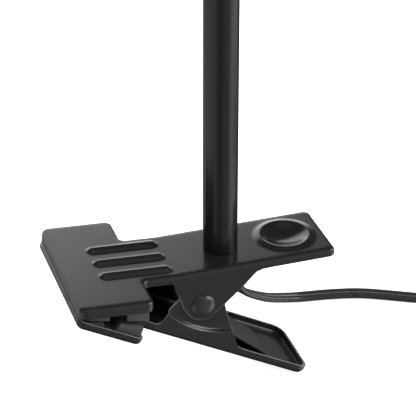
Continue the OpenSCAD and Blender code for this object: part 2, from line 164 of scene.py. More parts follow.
NICKEL = paint("nickel_plate", (0.66, 0.64, 0.6), 0.18, metal=1, grain=0.6, bump=0.15,
               height=0.01, mottle=0.05, spread=0.05, patch=4)
BRASS = paint("brass", (0.72, 0.53, 0.24), 0.3, metal=1, grain=0.3, bump=0.2, height=0.01,
              mottle=0.1, spread=0.07, patch=3)
BROWN = paint("wire_brown", (0.12, 0.045, 0.02), 0.45, grain=0.4, bump=0.2, patch=5)
BLUE = paint("wire_blue", (0.03, 0.08, 0.3), 0.45, grain=0.4, bump=0.2, patch=5)
KNUCKLE = paint("knuckle_coat", (0.017, 0.017, 0.018), 0.36, grain=0.35, bump=0.3, height=0.012,
                mottle=0.2, spread=0.03, patch=6)
FIBRE = paint("fibre_washer", (0.30, 0.24, 0.16), 0.8, grain=0.2, bump=0.6, height=0.06,
              mottle=0.3, patch=1.2)
MOULDED = paint("moulded_black", (0.024, 0.024, 0.024), 0.46, grain=0.22, bump=0.7, height=0.03,
                mottle=0.15, spread=0.05, patch=7)
GLOSSY = paint("moulded_smooth", (0.028, 0.028, 0.028), 0.3, grain=0.6, bump=0.15, height=0.01,
               mottle=0.15, spread=0.04, patch=5)
SHADE = paint("shade_coat", (0.017, 0.017, 0.018), 0.34, grain=0.4, bump=0.3, height=0.012,
              mottle=0.2, spread=0.02, patch=16)
ENAMEL = paint("white_enamel", (0.62, 0.62, 0.61), 0.32, grain=0.7, bump=0.2, height=0.02,
               mottle=0.02, spread=0.04, patch=12)
SHEATH = paint("cord_sheath", (0.024, 0.024, 0.024), 0.26, grain=0.7, bump=0.3, height=0.015,
               mottle=0.2, spread=0.03, patch=8)
TIE = paint("tie_fabric", (0.05, 0.05, 0.05), 0.85, grain=0.35, bump=0.9, height=0.15,
            mottle=0.35, spread=0.05, patch=1.5)
OPAL = paint("opal_glass", (0.74, 0.74, 0.72), 0.22, grain=2.0, bump=0.1, height=0.01,
             mottle=0.015, spread=0.03, patch=10, coat=0.3, glow=0.25)
COLLAR = paint("bulb_plastic", (0.80, 0.80, 0.77), 0.4, grain=0.5, bump=0.25, height=0.02,
               mottle=0.03, spread=0.04, patch=8)


# ---------- meshes ----------
class Shell:
    """Vertices in millimetres, and faces with a material's number, of one or more closed forms."""

    def __init__(self):
        self.verts = []
        self.faces = []
        self.mats = []

    def add(self, form, place=None, mat=0):
        verts, faces = form
        first = len(self.verts)
        for v in verts:
            self.verts.append(tuple(place @ Vector(v)) if place is not None else tuple(v))
        for k, face in enumerate(faces):
            self.faces.append(tuple(i + first for i in face))
            self.mats.append(mat[k] if isinstance(mat, list) else mat)
        return self


SMOOTH_BELOW = 55


def piece(name, shell, body, nodes, materials, bevel=0.0, sharp=40.0, steps=2):
    """A mesh object that rides on a body and stands for CAD nodes.

    Edges sharper than the angle sharp are rounded by bevel. Without a body, it is left unattached.
    """
    mesh = bpy.data.meshes.new(name)
    mesh.from_pydata([[c * MM for c in v] for v in shell.verts], [], shell.faces)
    for m in materials:
        mesh.materials.append(m)
    mesh.polygons.foreach_set("material_index", shell.mats)
    work = bmesh.new()
    work.from_mesh(mesh)
    bmesh.ops.remove_doubles(work, verts=work.verts, dist=1e-7)
    bmesh.ops.recalc_face_normals(work, faces=work.faces)
    if bevel:
        edges = [e for e in work.edges
                 if e.is_manifold and e.calc_face_angle(0) > math.radians(sharp)]
        bmesh.ops.bevel(work, geom=edges, offset=bevel * MM, segments=steps, profile=0.6,
                        affect="EDGES", clamp_overlap=True)
    for face in work.faces:
        face.smooth = True
    for edge in work.edges:
        if edge.is_manifold and edge.calc_face_angle(0) > math.radians(SMOOTH_BELOW):
            edge.smooth = False
    work.to_mesh(mesh)
    work.free()
    made = bpy.data.objects.new(name, mesh)
    bpy.context.scene.collection.objects.link(made)
    normals = made.modifiers.new("normals", "WEIGHTED_NORMAL")
    normals.keep_sharp = True
    normals.weight = 60
    if body:
        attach(made, body)
    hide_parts(*nodes)
    return made


def circle(r, z, count):
    """Points round +Z at one height. r is a radius, or a function that gives one for an angle."""
    found = []
    for k in range(count):
        a = math.tau * k / count
        now = r(a) if callable(r) else r
        found.append((now * math.cos(a), now * math.sin(a), z))
    return found


def hexagon(r):
    """The radius at each angle of a hexagon that is r across its corners from the centre."""
    def at(a):
        return r * math.cos(math.pi / 6) / math.cos((a % (math.pi / 3)) - math.pi / 6)
    return at


def lathe(profile, segments=64, closed=False):
    """Turns (radius, height) points round +Z. A point on the axis becomes one vertex."""
    verts, rings, faces = [], [], []
    for r, z in profile:
        if r < 1e-6:
            rings.append([len(verts)])
            verts.append((0, 0, z))
        else:
            rings.append(list(range(len(verts), len(verts) + segments)))
            verts += circle(r, z, segments)
    pairs = list(zip(rings, rings[1:]))
    if closed:
        pairs.append((rings[-1], rings[0]))
    for low, high in pairs:
        for k in range(segments):
            n = (k + 1) % segments
            if len(low) == 1 and len(high) == 1:
                break
            if len(low) == 1:
                faces.append((low[0], high[n], high[k]))
            elif len(high) == 1:
                faces.append((low[k], low[n], high[0]))
            else:
                faces.append((low[k], low[n], high[n], high[k]))
    return verts, faces


def thread(r, depth, pitch, z0, z1, segments=48, rows=8, inner=0.0):
    """A rod with a helical thread from z0 to z1, or a tube if an inner radius is given."""
    count = max(2, int((z1 - z0) / pitch * rows))
    verts, faces = [], []
    for i in range(count + 1):
        z = z0 + (z1 - z0) * i / count
        fade = min(1.0, (z - z0) / pitch, (z1 - z) / pitch)
        for k in range(segments):
            a = math.tau * k / segments
            wave = 0.5 - 0.5 * math.cos(math.tau * (z / pitch - k / segments))
            now = r - depth * (wave * fade + (1 - fade))
            verts.append((now * math.cos(a), now * math.sin(a), z))
    for i in range(count):
        for k in range(segments):
            n = (k + 1) % segments
            faces.append((i * segments + k, i * segments + n,
                          (i + 1) * segments + n, (i + 1) * segments + k))
    if inner:
        first = len(verts)
        verts += circle(inner, z0, segments) + circle(inner, z1, segments)
        last = count * segments
        for k in range(segments):
            n = (k + 1) % segments
            faces.append((k, n, first + n, first + k))
            faces.append((last + n, last + k, first + segments + k, first + segments + n))
            faces.append((first + k, first + n, first + segments + n, first + segments + k))
    else:
        faces.append(tuple(range(segments)))
        faces.append(tuple(range(count * segments, (count + 1) * segments)))
    return verts, faces


def prism(outline, low, high):
    """A flat outline, given a height from low to high along +Z."""
    n = len(outline)
    verts = [(x, y, low) for x, y in outline] + [(x, y, high) for x, y in outline]
    faces = [tuple(range(n)), tuple(range(n, 2 * n))]
    faces += [(k, (k + 1) % n, n + (k + 1) % n, n + k) for k in range(n)]
    return verts, faces


def ring(cx, cy, hx, hy, r, z, arc=6):
    """A rounded rectangle's points at one height."""
    r = min(r, hx - 0.01, hy - 0.01)
    found = []
    for sx, sy, start in ((1, 1, 0), (-1, 1, 90), (-1, -1, 180), (1, -1, 270)):
        for k in range(arc + 1):
            a = math.radians(start + 90 * k / arc)
            found.append((cx + sx * (hx - r) + r * math.cos(a),
                          cy + sy * (hy - r) + r * math.sin(a), z))
    return found


def loft(rings, closed=False):
    """Joins rings that have the same number of points, in a loop or with a face at each end."""
    n = len(rings[0])
    verts = [p for one in rings for p in one]
    faces = []
    count = len(rings) if closed else len(rings) - 1
    for i in range(count):
        j = (i + 1) % len(rings)
        for k in range(n):
            m = (k + 1) % n
            faces.append((i * n + k, i * n + m, j * n + m, j * n + k))
    if not closed:
        faces.append(tuple(range(n)))
        faces.append(tuple(range((len(rings) - 1) * n, len(rings) * n)))
    return verts, faces


def sweep(line, sides, section):
    """Carries a section along a line. sides are the section's first axis at each point."""
    rings = []
    for i, p in enumerate(line):
        along = (line[min(i + 1, len(line) - 1)] - line[max(i - 1, 0)]).normalized()
        side = (sides[i] - along * sides[i].dot(along)).normalized()
        up = along.cross(side)
        rings.append([tuple(p + side * a + up * b) for a, b in section])
    return loft(rings)


def smooth(t):
    """A smooth rise from 0 at t = 0 to 1 at t = 1."""
    t = max(0.0, min(1.0, t))
    return t * t * (3 - 2 * t)


# ---------- cord ----------
CORD_W = 5.2
CORD_T = 2.8
FLOOR_Z = GROUND + CORD_T / 2
SWITCH_X = 197
SWITCH_Y = 8
SWITCH_CORD = GROUND + 3.6
INTO_SWITCH = SWITCH_X - 29
OUT_OF_SWITCH = SWITCH_X + 29
LEAD = [
    (49.2, 7.3, -9.7), (51, 10.4, -11), (52.5, 13, -12.7), (54.5, 16.4, -16.5),
    (56.8, 20, -23), (60.2, 23, -30.5), (67, 26.2, -36), (73, 28.2, -39.8), (78, 29.9, -42),
    (83, 31, -43.6), (88.5, 32, FLOOR_Z), (96, 31, FLOOR_Z), (103.5, 29.5, FLOOR_Z),
    (111, 27.5, FLOOR_Z), (118, 24, FLOOR_Z), (124.5, 20.5, FLOOR_Z), (131, 17, FLOOR_Z),
    (138, 13.5, FLOOR_Z), (145, 11, FLOOR_Z), (152, 9, FLOOR_Z), (159, SWITCH_Y, -44),
    (INTO_SWITCH, SWITCH_Y, SWITCH_CORD)]
COIL_TURNS = 8.5
COIL_LAYERS = 4
LAYER_H = 2.9
CLIMB = 0.24
COIL_MEAN = 28
COIL_OUT = COIL_MEAN + 5.3 * COIL_TURNS / COIL_LAYERS / 2
COIL_IN = 2 * COIL_MEAN - COIL_OUT
COIL_X = 265
COIL_Y = SWITCH_Y - COIL_OUT
COIL_BASE = GROUND + 0.8
COIL_H = COIL_LAYERS * LAYER_H
LINK = [(OUT_OF_SWITCH, SWITCH_Y, SWITCH_CORD), (236, SWITCH_Y, -43.2), (246, SWITCH_Y, -44.1),
        (256, SWITCH_Y, COIL_BASE + CORD_T / 2), (COIL_X, SWITCH_Y, COIL_BASE + CORD_T / 2)]
TAIL_Z = COIL_BASE + COIL_H - LAYER_H / 2
PLUG = Vector((222, -45, GROUND + 7))
TAIL = [(COIL_X, COIL_Y - COIL_OUT, TAIL_Z), (254, -59, TAIL_Z - 0.4), (243, -56.2, -37.6),
        (232, -50.6, -38.8), (223, -46, -39.4), (214, -45, PLUG.z)]


def spline(route, steps):
    """Points along a smooth cubic curve that starts and ends on the route's own ends."""
    p = [Vector(q) for q in route]
    p = [2 * p[0] - p[1]] + p + [2 * p[-1] - p[-2]]
    found = []
    for i in range(1, len(p) - 2):
        for k in range(steps):
            t = k / steps
            found.append(((1 - t) ** 3 * p[i - 1] + (3 * t ** 3 - 6 * t * t + 4) * p[i]
                          + (-3 * t ** 3 + 3 * t * t + 3 * t + 1) * p[i + 1]
                          + t ** 3 * p[i + 2]) / 6)
    return found + [Vector(route[-1])]


def winding():
    """The coil's turns, layer on layer, in and out by turns.

    The cord climbs to the next layer over a share CLIMB of a turn.
    """
    per_layer = COIL_TURNS / COIL_LAYERS
    count = int(COIL_TURNS * 40)
    found = []
    for k in range(1, count):
        t = COIL_TURNS * k / count
        layer = min(int(t / per_layer), COIL_LAYERS - 1)
        share = t / per_layer - layer
        r = COIL_OUT + (COIL_IN - COIL_OUT) * (share if layer % 2 == 0 else 1 - share)
        up = sum(smooth((t - m * per_layer) / CLIMB + 0.5) for m in range(1, COIL_LAYERS))
        a = math.radians(90 - 360 * t)
        found.append(Vector((COIL_X + r * math.cos(a), COIL_Y + r * math.sin(a),
                             COIL_BASE + LAYER_H * (0.5 + up))))
    return found


def cord_section():
    """Two round cores side by side under one sheath."""
    core = CORD_T / 2 - 0.06
    apart = CORD_W / 2 - core
    meet = math.degrees(math.acos(apart / core))
    found = []
    for centre, start in ((apart, meet - 180), (-apart, meet)):
        for k in range(15):
            a = math.radians(start + (360 - 2 * meet) * k / 14)
            found.append((centre + core * math.cos(a), core * math.sin(a)))
    return found


through = [Vector((INTO_SWITCH + (OUT_OF_SWITCH - INTO_SWITCH) * k / 8, SWITCH_Y, SWITCH_CORD))
           for k in range(1, 8)]
cord_line = spline(LEAD, 4) + through + spline(LINK, 4) + winding() + spline(TAIL, 5)
UP = Vector((0, 0, 1))
cord_sides = []
for i in range(len(cord_line)):
    ahead = cord_line[min(i + 1, len(cord_line) - 1)] - cord_line[max(i - 1, 0)]
    cord_sides.append(UP.cross(ahead).normalized())
shell = Shell().add(sweep(cord_line, cord_sides, cord_section()))
flex = piece("flat_cord", shell, "clip",
             ["cord_lead", "cord_link", "cord_coil", "cord_tail"], [SHEATH])


# ---------- sheet-metal levers ----------
SHEET = 1.0
RIM = 0.2
BEND_STEPS = 5


def soften(points, step, reach):
    """A polyline cut into even steps, with its corners rounded over a length of reach."""
    dense = []
    for a, b in zip(points, points[1:]):
        length = math.dist(a, b)
        n = max(1, int(length / 0.2))
        dense += [(a[0] + (b[0] - a[0]) * k / n, a[1] + (b[1] - a[1]) * k / n) for k in range(n)]
    dense.append(points[-1])
    half = max(1, int(reach / 0.4))
    eased = []
    for i in range(len(dense)):
        h = min(half, i, len(dense) - 1 - i)
        part = dense[i - h:i + h + 1]
        eased.append((sum(q[0] for q in part) / len(part), sum(q[1] for q in part) / len(part)))
    found, gone = [eased[0]], 0.0
    for a, b in zip(eased, eased[1:]):
        gone += math.dist(a, b)
        if gone >= step:
            found.append(b)
            gone = 0.0
    if math.dist(found[-1], eased[-1]) > step / 2:
        found.append(eased[-1])
    return found


def side_columns(x0, x1, ear, flange, step=2.5):
    """Columns of a side wall from x0 to x1: (x at the fold, x at the foot, foot's height)."""
    left, right = ear[0][0], ear[-1][0]
    n = max(1, int((left - x0) / step))
    found = [(x0 + (left - x0) * k / n,) * 2 + (-flange,) for k in range(n)]
    for k, (x, z) in enumerate(ear):
        even = left + (right - left) * k / (len(ear) - 1)
        found.append(((x + even) / 2, x, z))
    n = max(1, int((x1 - right) / step))
    found += [(right + (x1 - right) * k / n,) * 2 + (-flange,) for k in range(1, n + 1)]
    return found


def tee_outline(handle, half, wing, rear, front, ear, flange, more=0.0, thumb=2.5):
    """The plan of a lever with a T jaw, anticlockwise: (x, y, normal x, normal y, foot x, foot z).

    The jaw's flange is deeper than the handle's by more. thumb is the radius at the handle's end.
    """
    def foot_z(x, y):
        return -flange - more * max(smooth((-rear - x) / 2.5), smooth((abs(y) - half - 1) / 2.5))

    corners = [(handle, -half, thumb), (handle, half, thumb), (-rear, half, 1.8),
               (-rear, wing, 2.5), (-front, wing, 2.5), (-front, -wing, 2.5),
               (-rear, -wing, 2.5), (-rear, -half, 1.8)]
    n = len(corners)
    arcs = []
    for i, (x, y, r) in enumerate(corners):
        a = Vector(corners[i - 1][:2]) - Vector((x, y))
        b = Vector(corners[(i + 1) % n][:2]) - Vector((x, y))
        a.normalize()
        b.normalize()
        centre = Vector((x, y)) + (a + b) * r
        bulge = 1 if (-a).cross(b) > 0 else -1
        arc = []
        for k in range(9):
            t = math.radians(90 * k / 8)
            out = -b * math.cos(t) - a * math.sin(t)
            at = centre + out * r
            arc.append((at.x, at.y, out.x * bulge, out.y * bulge))
        arcs.append(arc)
    found = []
    for i in range(n):
        found += [p + (p[0], foot_z(p[0], p[1])) for p in arcs[i]]
        p, q = arcs[i][-1], arcs[(i + 1) % n][0]
        if i in (1, 7):
            low, high = min(p[0], q[0]), max(p[0], q[0])
            columns = side_columns(low, high, ear, flange)[1:-1]
            if i == 1:
                columns = columns[::-1]
            found += [(x, p[1], p[2], p[3], foot, z) for x, foot, z in columns]
        else:
            steps = max(2, int(math.dist(p[:2], q[:2]) / 2.5))
            for k in range(1, steps):
                x = p[0] + (q[0] - p[0]) * k / steps
                y = p[1] + (q[1] - p[1]) * k / steps
                found.append((x, y, p[2], p[3], x, foot_z(x, y)))
    return found


def stamped(outline, grid, height, rows, fold, step_in=None):
    """A pan pressed from sheet: top face at height(x, y), folded edge, walls down to each foot.

    Its cut edge has material 1 (thinner paint, lightened as a painted highlight) and the rest
    material 0. step_in(x, z) moves a wall inwards.
    """
    edge = [(x - nx * fold, y - ny * fold) for x, y, nx, ny, _, _ in outline]
    n = len(edge)
    points = [Vector(p) for p in edge] + [Vector(p) for p in grid]
    flat, _, tris, origin, _, _ = geometry.delaunay_2d_cdt(points, [], [list(range(n))], 1, 1e-5)
    place = {}
    for i, where in enumerate(origin):
        for o in where:
            place[o] = i
    top = [(p.x, p.y, height(p.x, p.y)) for p in flat]
    under = [(x, y, z - SHEET) for x, y, z in top]
    verts = top + under
    faces = [tuple(f) for f in tris] + [tuple(i + len(flat) for i in reversed(f)) for f in tris]
    mats = [0] * len(faces)
    bends = [math.radians(90 * k / BEND_STEPS) for k in range(1, BEND_STEPS + 1)]
    columns = []
    for i, (x, y, nx, ny, foot, low) in enumerate(outline):
        a, b = outline[i - 1], outline[(i + 1) % n]
        out = Vector((nx, ny, 0))
        run = Vector((b[4] - a[4], (b[1] - a[1]) if abs(nx) > 1e-6 else 0, b[5] - a[5]))
        into = out.cross(run).normalized()
        if into.z < 0:
            into = -into

        def wall(share, inset, x=x, y=y, foot=foot, low=low, nx=nx, ny=ny):
            px = x + (foot - x) * share
            pz = -fold + (low + fold) * share
            if step_in:
                inset += step_in(px, pz)
            return Vector((px - nx * inset, y - ny * inset, pz))

        col = []
        for t in bends:
            inset = fold * (1 - math.sin(t))
            col.append((x - nx * inset, y - ny * inset, -fold * (1 - math.cos(t))))
        outer = [wall(k / rows, 0) for k in range(1, rows + 1)]
        inner = [wall(k / rows, SHEET) for k in range(1, rows + 1)]
        lip = outer[-1]
        back = inner[-1]
        across = (back - lip) / SHEET
        col += outer[:-1] + [lip + into * RIM, lip + across * RIM, back - across * RIM,
                             back + into * RIM] + inner[:-1][::-1]
        small = fold - SHEET
        for t in reversed(bends):
            inset = fold - small * math.sin(t)
            col.append((x - nx * inset, y - ny * inset, -fold + small * math.cos(t)))
        first = len(verts)
        verts += [tuple(p) for p in col]
        columns.append([place[i]] + list(range(first, first + len(col)))
                       + [place[i] + len(flat)])
    for i in range(n):
        a, b = columns[i - 1], columns[i]
        for k in range(len(a) - 1):
            faces.append((a[k], a[k + 1], b[k + 1], b[k]))
            # The cut edge's three strips get material 1, whose lighter colour paints the rims'
            # highlight.
            mats.append(1 if rows + BEND_STEPS <= k < rows + BEND_STEPS + 3 else 0)
    return verts, faces, mats


def coarse_grid(handle, half, wing, rear, front, skip, step=2.6):
    """Inner points for a T-shaped face, clear of its edge and of the pressed shapes."""
    found = []
    x = -front + 3.2
    while x < handle - 2.6:
        reach = (wing if x < -rear - 2.4 else half) - 2.7
        n = max(1, round(2 * reach / step))
        for k in range(n + 1):
            y = -reach + 2 * reach * k / n
            if not skip(x, y):
                found.append((x, y))
        x += step
    return found


# The levers' plans: the handle's end, its half width, the jaw's half width, its rear and its front.
HALF = 13.95
UPPER_TEE = (37.8, HALF, 27.6, 31.8, 57.0)
LOWER_TEE = (52.3, HALF, 27.5, 21.7, 46.4)
RISE = math.radians(3.85)
BEND_X = -19.3
RIB_YS = (-8.4, 0.0, 8.4)
RIB_H = 1.3
RIB_R = (2.15 ** 2 + RIB_H ** 2) / (2 * RIB_H)
RIB_ENDS = (-45.6 + RIB_R, -20.3 - RIB_R)
RIB_REACH = 3.4
RIB_MESH = (0.48, 0.38)
DISH_X = 23.7
DISH_R = 11.4
CREST_R = 8.5
CREST_H = 1.25
DISH_DEPTH = 1.8
DISH_MESH_R = 11.7
DISH_RINGS = 26


def rib_height(x, y):
    """Three ribs with round ends and an arched section, eased into the sheet."""
    found = 0.0
    for centre in RIB_YS:
        d = math.hypot(max(RIB_ENDS[0] - x, 0, x - RIB_ENDS[1]), y - centre)
        if d < RIB_REACH:
            cap = math.sqrt(max(RIB_R ** 2 - d * d, 0)) - (RIB_R - RIB_H) - max(0, d - RIB_R)
            found += 0.5 * (cap + math.sqrt(cap * cap + 0.16)) * smooth((RIB_REACH - d) / 1.9)
    return found


def dish_height(x, y):
    """A bowl inside a raised ring, each eased into the other."""
    r = math.hypot(x - DISH_X, y)
    shoulder = CREST_H * smooth((DISH_R - r) / (DISH_R - CREST_R + 0.5))
    bowl = 3.1 * (r / CREST_R) ** 2 - DISH_DEPTH
    gap = shoulder - bowl
    return 0.5 * (shoulder + bowl - math.sqrt(gap * gap + 0.8 * smooth((DISH_R - r) / 2.6)))


def near_pressing(x, y):
    """Where the coarse points leave room for the fine ones of the ribs and the dish."""
    by_rib = -48.6 < x < -17.6 and any(abs(y - c) < 3.9 for c in RIB_YS)
    return by_rib or math.hypot(x - DISH_X, y) < DISH_MESH_R + 0.7


grid = coarse_grid(*UPPER_TEE, near_pressing)
for centre in RIB_YS:
    for i in range(64):
        for k in range(-9, 10):
            grid.append((-48.3 + i * RIB_MESH[0], centre + k * RIB_MESH[1]))
for i in range(1, DISH_RINGS + 1):
    count = max(6, int(i * 3.4))
    for k in range(count):
        a = math.tau * (k + 0.5 * (i % 2)) / count
        r = DISH_MESH_R * i / DISH_RINGS
        grid.append((DISH_X + r * math.cos(a), r * math.sin(a)))
grid.append((DISH_X, 0.0))

upper_foot = [(-23.2, -3.0), (-20.9, -3.0), (-20.4, -4.2), (-19.1, -8.7), (-17.8, -13.4)]
for k in range(13):
    a = math.radians(205 + 100 * k / 12)
    upper_foot.append((PIVOT_X + 5.9 * math.cos(a), PIVOT_Z + 5.9 * math.sin(a)))
upper_foot += [(-4, -15.7), (4.3, -8.3), (8.4, -3.9), (10.8, -3.1), (15, -2.98)]
upper_foot = soften(upper_foot, step=0.6, reach=1.0)
upper_plan = tee_outline(*UPPER_TEE, upper_foot, flange=3.0, more=0.7)
verts, faces, mats = stamped(upper_plan, grid, lambda x, y: rib_height(x, y) + dish_height(x, y),
                             rows=16, fold=1.5)
bent = []  # the jaw rises from BEND_X to its front
for x, y, z in verts:
    tilt = RISE * smooth((BEND_X + 1.0 - x) / 2.0)
    dx = x - BEND_X
    bent.append((BEND_X + dx * math.cos(tilt) + z * math.sin(tilt), y,
                 -dx * math.sin(tilt) + z * math.cos(tilt)))
piece("upper_lever_skin", Shell().add((bent, faces), AT_STEM, mats), "clip",
      ["upper_lever"], [POWDER, THIN_COAT_AND_HIGHLIGHT])

# The lower lever is shaped floor up, TRAY below the pivot, and turned over.
TRAY = 15.2
lower_foot = [(-14.5, -11.8), (-11.8, -11.75), (-10.9, -10.6), (-9.7, -5.6), (-8.4, -1.8)]
for k in range(19):
    a = math.radians(188 - 148 * k / 18)
    lower_foot.append((8.2 * math.cos(a), 8.2 * math.sin(a)))
lower_foot += [(9.3, 1.2), (15.5, -5.7), (20.5, -10.9), (22.2, -11.7), (25.5, -11.8)]
lower_foot = [(u, -(w + TRAY)) for u, w in soften(lower_foot, step=0.55, reach=1.6)]
lower_plan = tee_outline(*LOWER_TEE, lower_foot, flange=3.4, more=-0.25, thumb=4.6)
JOGGLE = 1.5


def joggle(u, z):
    """How far the lower lever's ears are pressed inwards near the pivot."""
    crease = 0.016 * u * u - 0.062 * u - 9.0
    return JOGGLE * smooth((-(z + TRAY) - crease + 0.5) / 1.2)


grid = coarse_grid(*LOWER_TEE, lambda x, y: False)
verts, faces, mats = stamped(lower_plan, grid, lambda x, y: 0.0, rows=46, fold=1.9,
                             step_in=joggle)
turned = [(x, y, -(z + TRAY)) for x, y, z in verts]
piece("lower_lever_skin", Shell().add((turned, faces), ON_LEVER, mats), "lower_jaw",
      ["lower_lever"], [POWDER, THIN_COAT_AND_HIGHLIGHT])

# ---------- pads, spring, pivot ----------
PAD_HALF = 25.9
UPPER_PAD = [(-54.9, 0.9), (-54.9, -2.9), (-46.8, -4.7), (-46.8, -3.1), (-41, -3.1), (-41, -6),
             (-33.4, -7.4), (-33.4, -0.6)]
LOWER_PAD = [(-44.6, -14.2), (-44.6, -12.9), (-37.6, -10.9), (-36.8, -13), (-32.6, -13),
             (-31.9, -9.5), (-23.4, -8.1), (-22.7, -12), (-22.8, -14.2)]
shell = Shell().add(prism(UPPER_PAD, -PAD_HALF, PAD_HALF), AT_STEM @ SIDEWAYS)
piece("upper_pad_rubber", shell, "clip", ["upper_pad"], [RUBBER],
      bevel=0.45, sharp=20, steps=3)
shell = Shell().add(prism(LOWER_PAD, -PAD_HALF, PAD_HALF), ON_LEVER @ SIDEWAYS)
piece("lower_pad_rubber", shell, "lower_jaw", ["lower_pad"], [RUBBER],
      bevel=0.45, sharp=20, steps=3)

# The spring's upper arm, its loop round the pivot and its lower arm.
LOWER_ARM = 38.6
LOOP = 5.8
LOOP_FROM = 137.2
LOOP_TO = 229
strip = [(9, -1.4), (2, -1.4), (-6.5, -1.4), (-7.35, -1.6), (-8.05, -2.05), (-9.2, -3.2)]
for k in range(25):
    a = math.radians(LOOP_FROM + (LOOP_TO - LOOP_FROM) * k / 24)
    strip.append((PIVOT_X + LOOP * math.cos(a), PIVOT_Z + LOOP * math.sin(a)))
end_x, end_z = strip[-1]
head = math.radians(LOOP_TO + 90)
for k in range(1, 13):
    reach = LOWER_ARM * k / 12
    strip.append((end_x + reach * math.cos(head), end_z + reach * math.sin(head)))
line = [AT_STEM @ Vector((x, 0, z)) for x, z in strip]
section = [(-7.85, -0.4), (7.85, -0.4), (8, -0.25), (8, 0.25), (7.85, 0.4), (-7.85, 0.4),
           (-8, 0.25), (-8, -0.25)]
shell = Shell().add(sweep(line, [Vector((0, 1, 0))] * len(line), section))
spring = piece("leaf_spring_strip", shell, None, ["leaf_spring"], [SPRING])
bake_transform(spring)

RIVET_R = 2.0
SHANK_HALF = 14.0
RIVET_HEAD = [(0, 2.0), (0.8, 1.97), (1.6, 1.87), (2.4, 1.66), (3.1, 1.32), (3.7, 0.88),
              (4.15, 0.42), (4.3, 0.12), (4.1, -0.02), (RIVET_R, -0.02), (0, -0.02)]
shell = Shell()
shell.add(lathe([(0, -SHANK_HALF), (RIVET_R, -SHANK_HALF), (RIVET_R, SHANK_HALF),
                 (0, SHANK_HALF)], 40), AT_PIVOT @ TO_Y)
for way in (TO_Y, TO_MINUS_Y):
    shell.add(lathe(RIVET_HEAD, 48), AT_PIVOT @ way @ shift(0, 0, SHANK_HALF - 0.03))
piece("pivot_rivet_heads", shell, "clip", ["pivot_rivet"], [RIVET])

# ---------- stem ----------
shell = Shell().add(lathe([(6, 0.35), (5.75, 0.02), (5.1, 0.02), (5, 0.2), (5, STEM_H - 0.2),
                           (5.2, STEM_H), (5.7, STEM_H), (6, STEM_H - 0.35)], 96, True), AT_STEM)
piece("stem_tube_skin", shell, "clip", ["stem_tube"], [SATIN])
shell = Shell().add(thread(5, 0.45, 1.0, -9, 0, inner=3.0), AT_STEM)
shell.add(lathe([(4, 0), (4, 10), (3, 10), (3, 0)], 48, True), AT_STEM)
piece("stem_nipple_thread", shell, "clip", ["stem_nipple"], [ZINC])


def hex_nut(r, bore, h):
    """A hexagon nut with a corner radius r and a height h, chamfered at both faces."""
    rings = []
    for z, share in ((0, 0.90), (0.1 * h, 1.0), (0.9 * h, 1.0), (h, 0.90)):
        rings.append(circle(lambda a: min(hexagon(r)(a), r * share), z, 48))
    for z, now in ((h, bore + 0.4), (h - 0.4, bore), (0.4, bore), (0, bore + 0.4)):
        rings.append(circle(now, z, 48))
    return loft(rings, closed=True)


for name, nut, place, body in (
        ("stem_nut", hex_nut(8.08, 5.0, 4), AT_STEM @ shift(0, 0, -6.8) @ turn(30, "Z"), "clip"),
        ("swivel_nut", hex_nut(6.9, 4.0, 3), AT_TOP @ shift(0, 0, 10.4), "clip"),
        ("shade_nut", hex_nut(7.5, 5.0, 3), ON_HEAD @ shift(0, 0, 26.9), "head")):
    piece(name + "_hex", Shell().add(nut, place), body, [name], [ZINC])

BUSH_NOSE = AT_STEM @ shift(0, 0, -11.6) @ turn(60, "Z") @ turn(110, "Y")
shell = Shell()
shell.add(lathe([(0, -15.4), (4.6, -15.4), (5.3, -15.1), (5.7, -14.4), (5.7, -7.6), (5.3, -7),
                 (5, -7), (5, -9), (0, -9)], 64), AT_STEM)
shell.add(lathe([(0, 0), (4.2, 0), (4.2, 5.6), (4.0, 6.2), (4.2, 6.8), (4.2, 8.1), (3.9, 8.7),
                 (3.2, 9.0), (0, 9.0)], 48), BUSH_NOSE)
piece("cord_bush_moulding", shell, "clip", ["cord_bush"], [MOULDED])

# ---------- swivel and tilt ----------
shell = Shell()
shell.add(lathe([(2.4, -12), (4.6, -12), (5, -11.5), (5, 0), (7.4, 0), (7.9, 0.4), (8, 0.9),
                 (8, 3.0), (7.7, 3.6), (7.0, 4), (4, 4), (4, 13.2), (3.6, 13.6), (2.4, 13.6)],
                64, True), AT_TOP)
piece("swivel_base_turned", shell, "clip", ["swivel_base"], [KNUCKLE])

FORK_GAP = 7.0
FORK_T = 4.0
EAR_FOOT = 5
EAR_R = 7.5
neck = [(EAR_FOOT + (EAR_R - EAR_FOOT) * smooth(k / 6), 8 + 14 * k / 6) for k in range(5)]
ear = [(-EAR_FOOT, 5.4), (EAR_FOOT, 5.4)] + neck
for k in range(25):
    a = math.radians(-20 + 220 * k / 24)
    ear.append((EAR_R * math.cos(a), TILT_H + EAR_R * math.sin(a)))
ear += [(-x, z) for x, z in reversed(neck)]
shell = Shell()
shell.add(lathe([(4.05, 4.2), (8.9, 4.2), (9.7, 4.5), (10, 5.2), (10, 9.2), (9.7, 9.9), (8.9, 10.2),
                 (4.05, 10.2)], 72, True), AT_TOP)
for way in (1, -1):
    shell.add(prism(ear, way * FORK_GAP, way * (FORK_GAP + FORK_T)), AT_TOP @ SIDEWAYS)
piece("knuckle_fork_cast", shell, "knuckle", ["knuckle_fork"], [KNUCKLE],
      bevel=0.5, sharp=50)

shell = Shell()
shell.add(lathe([(2.55, -6), (7.7, -6), (8.3, -5.7), (8.5, -5.1), (8.5, 5.1), (8.3, 5.7), (7.7, 6),
                 (2.55, 6)], 72, True), ON_HEAD @ TO_Y)
shell.add(lathe([(3, 4), (6, 4), (6, 22.4), (6.9, 23.2), (7.2, 24), (7.2, 25.6), (6.9, 26),
                 (3, 26)], 64, True), ON_HEAD)
shell.add(thread(5, 0.45, 1.0, 25.9, 38, inner=3.0), ON_HEAD)
piece("knuckle_tongue_cast", shell, "head", ["knuckle_tongue"], [KNUCKLE])

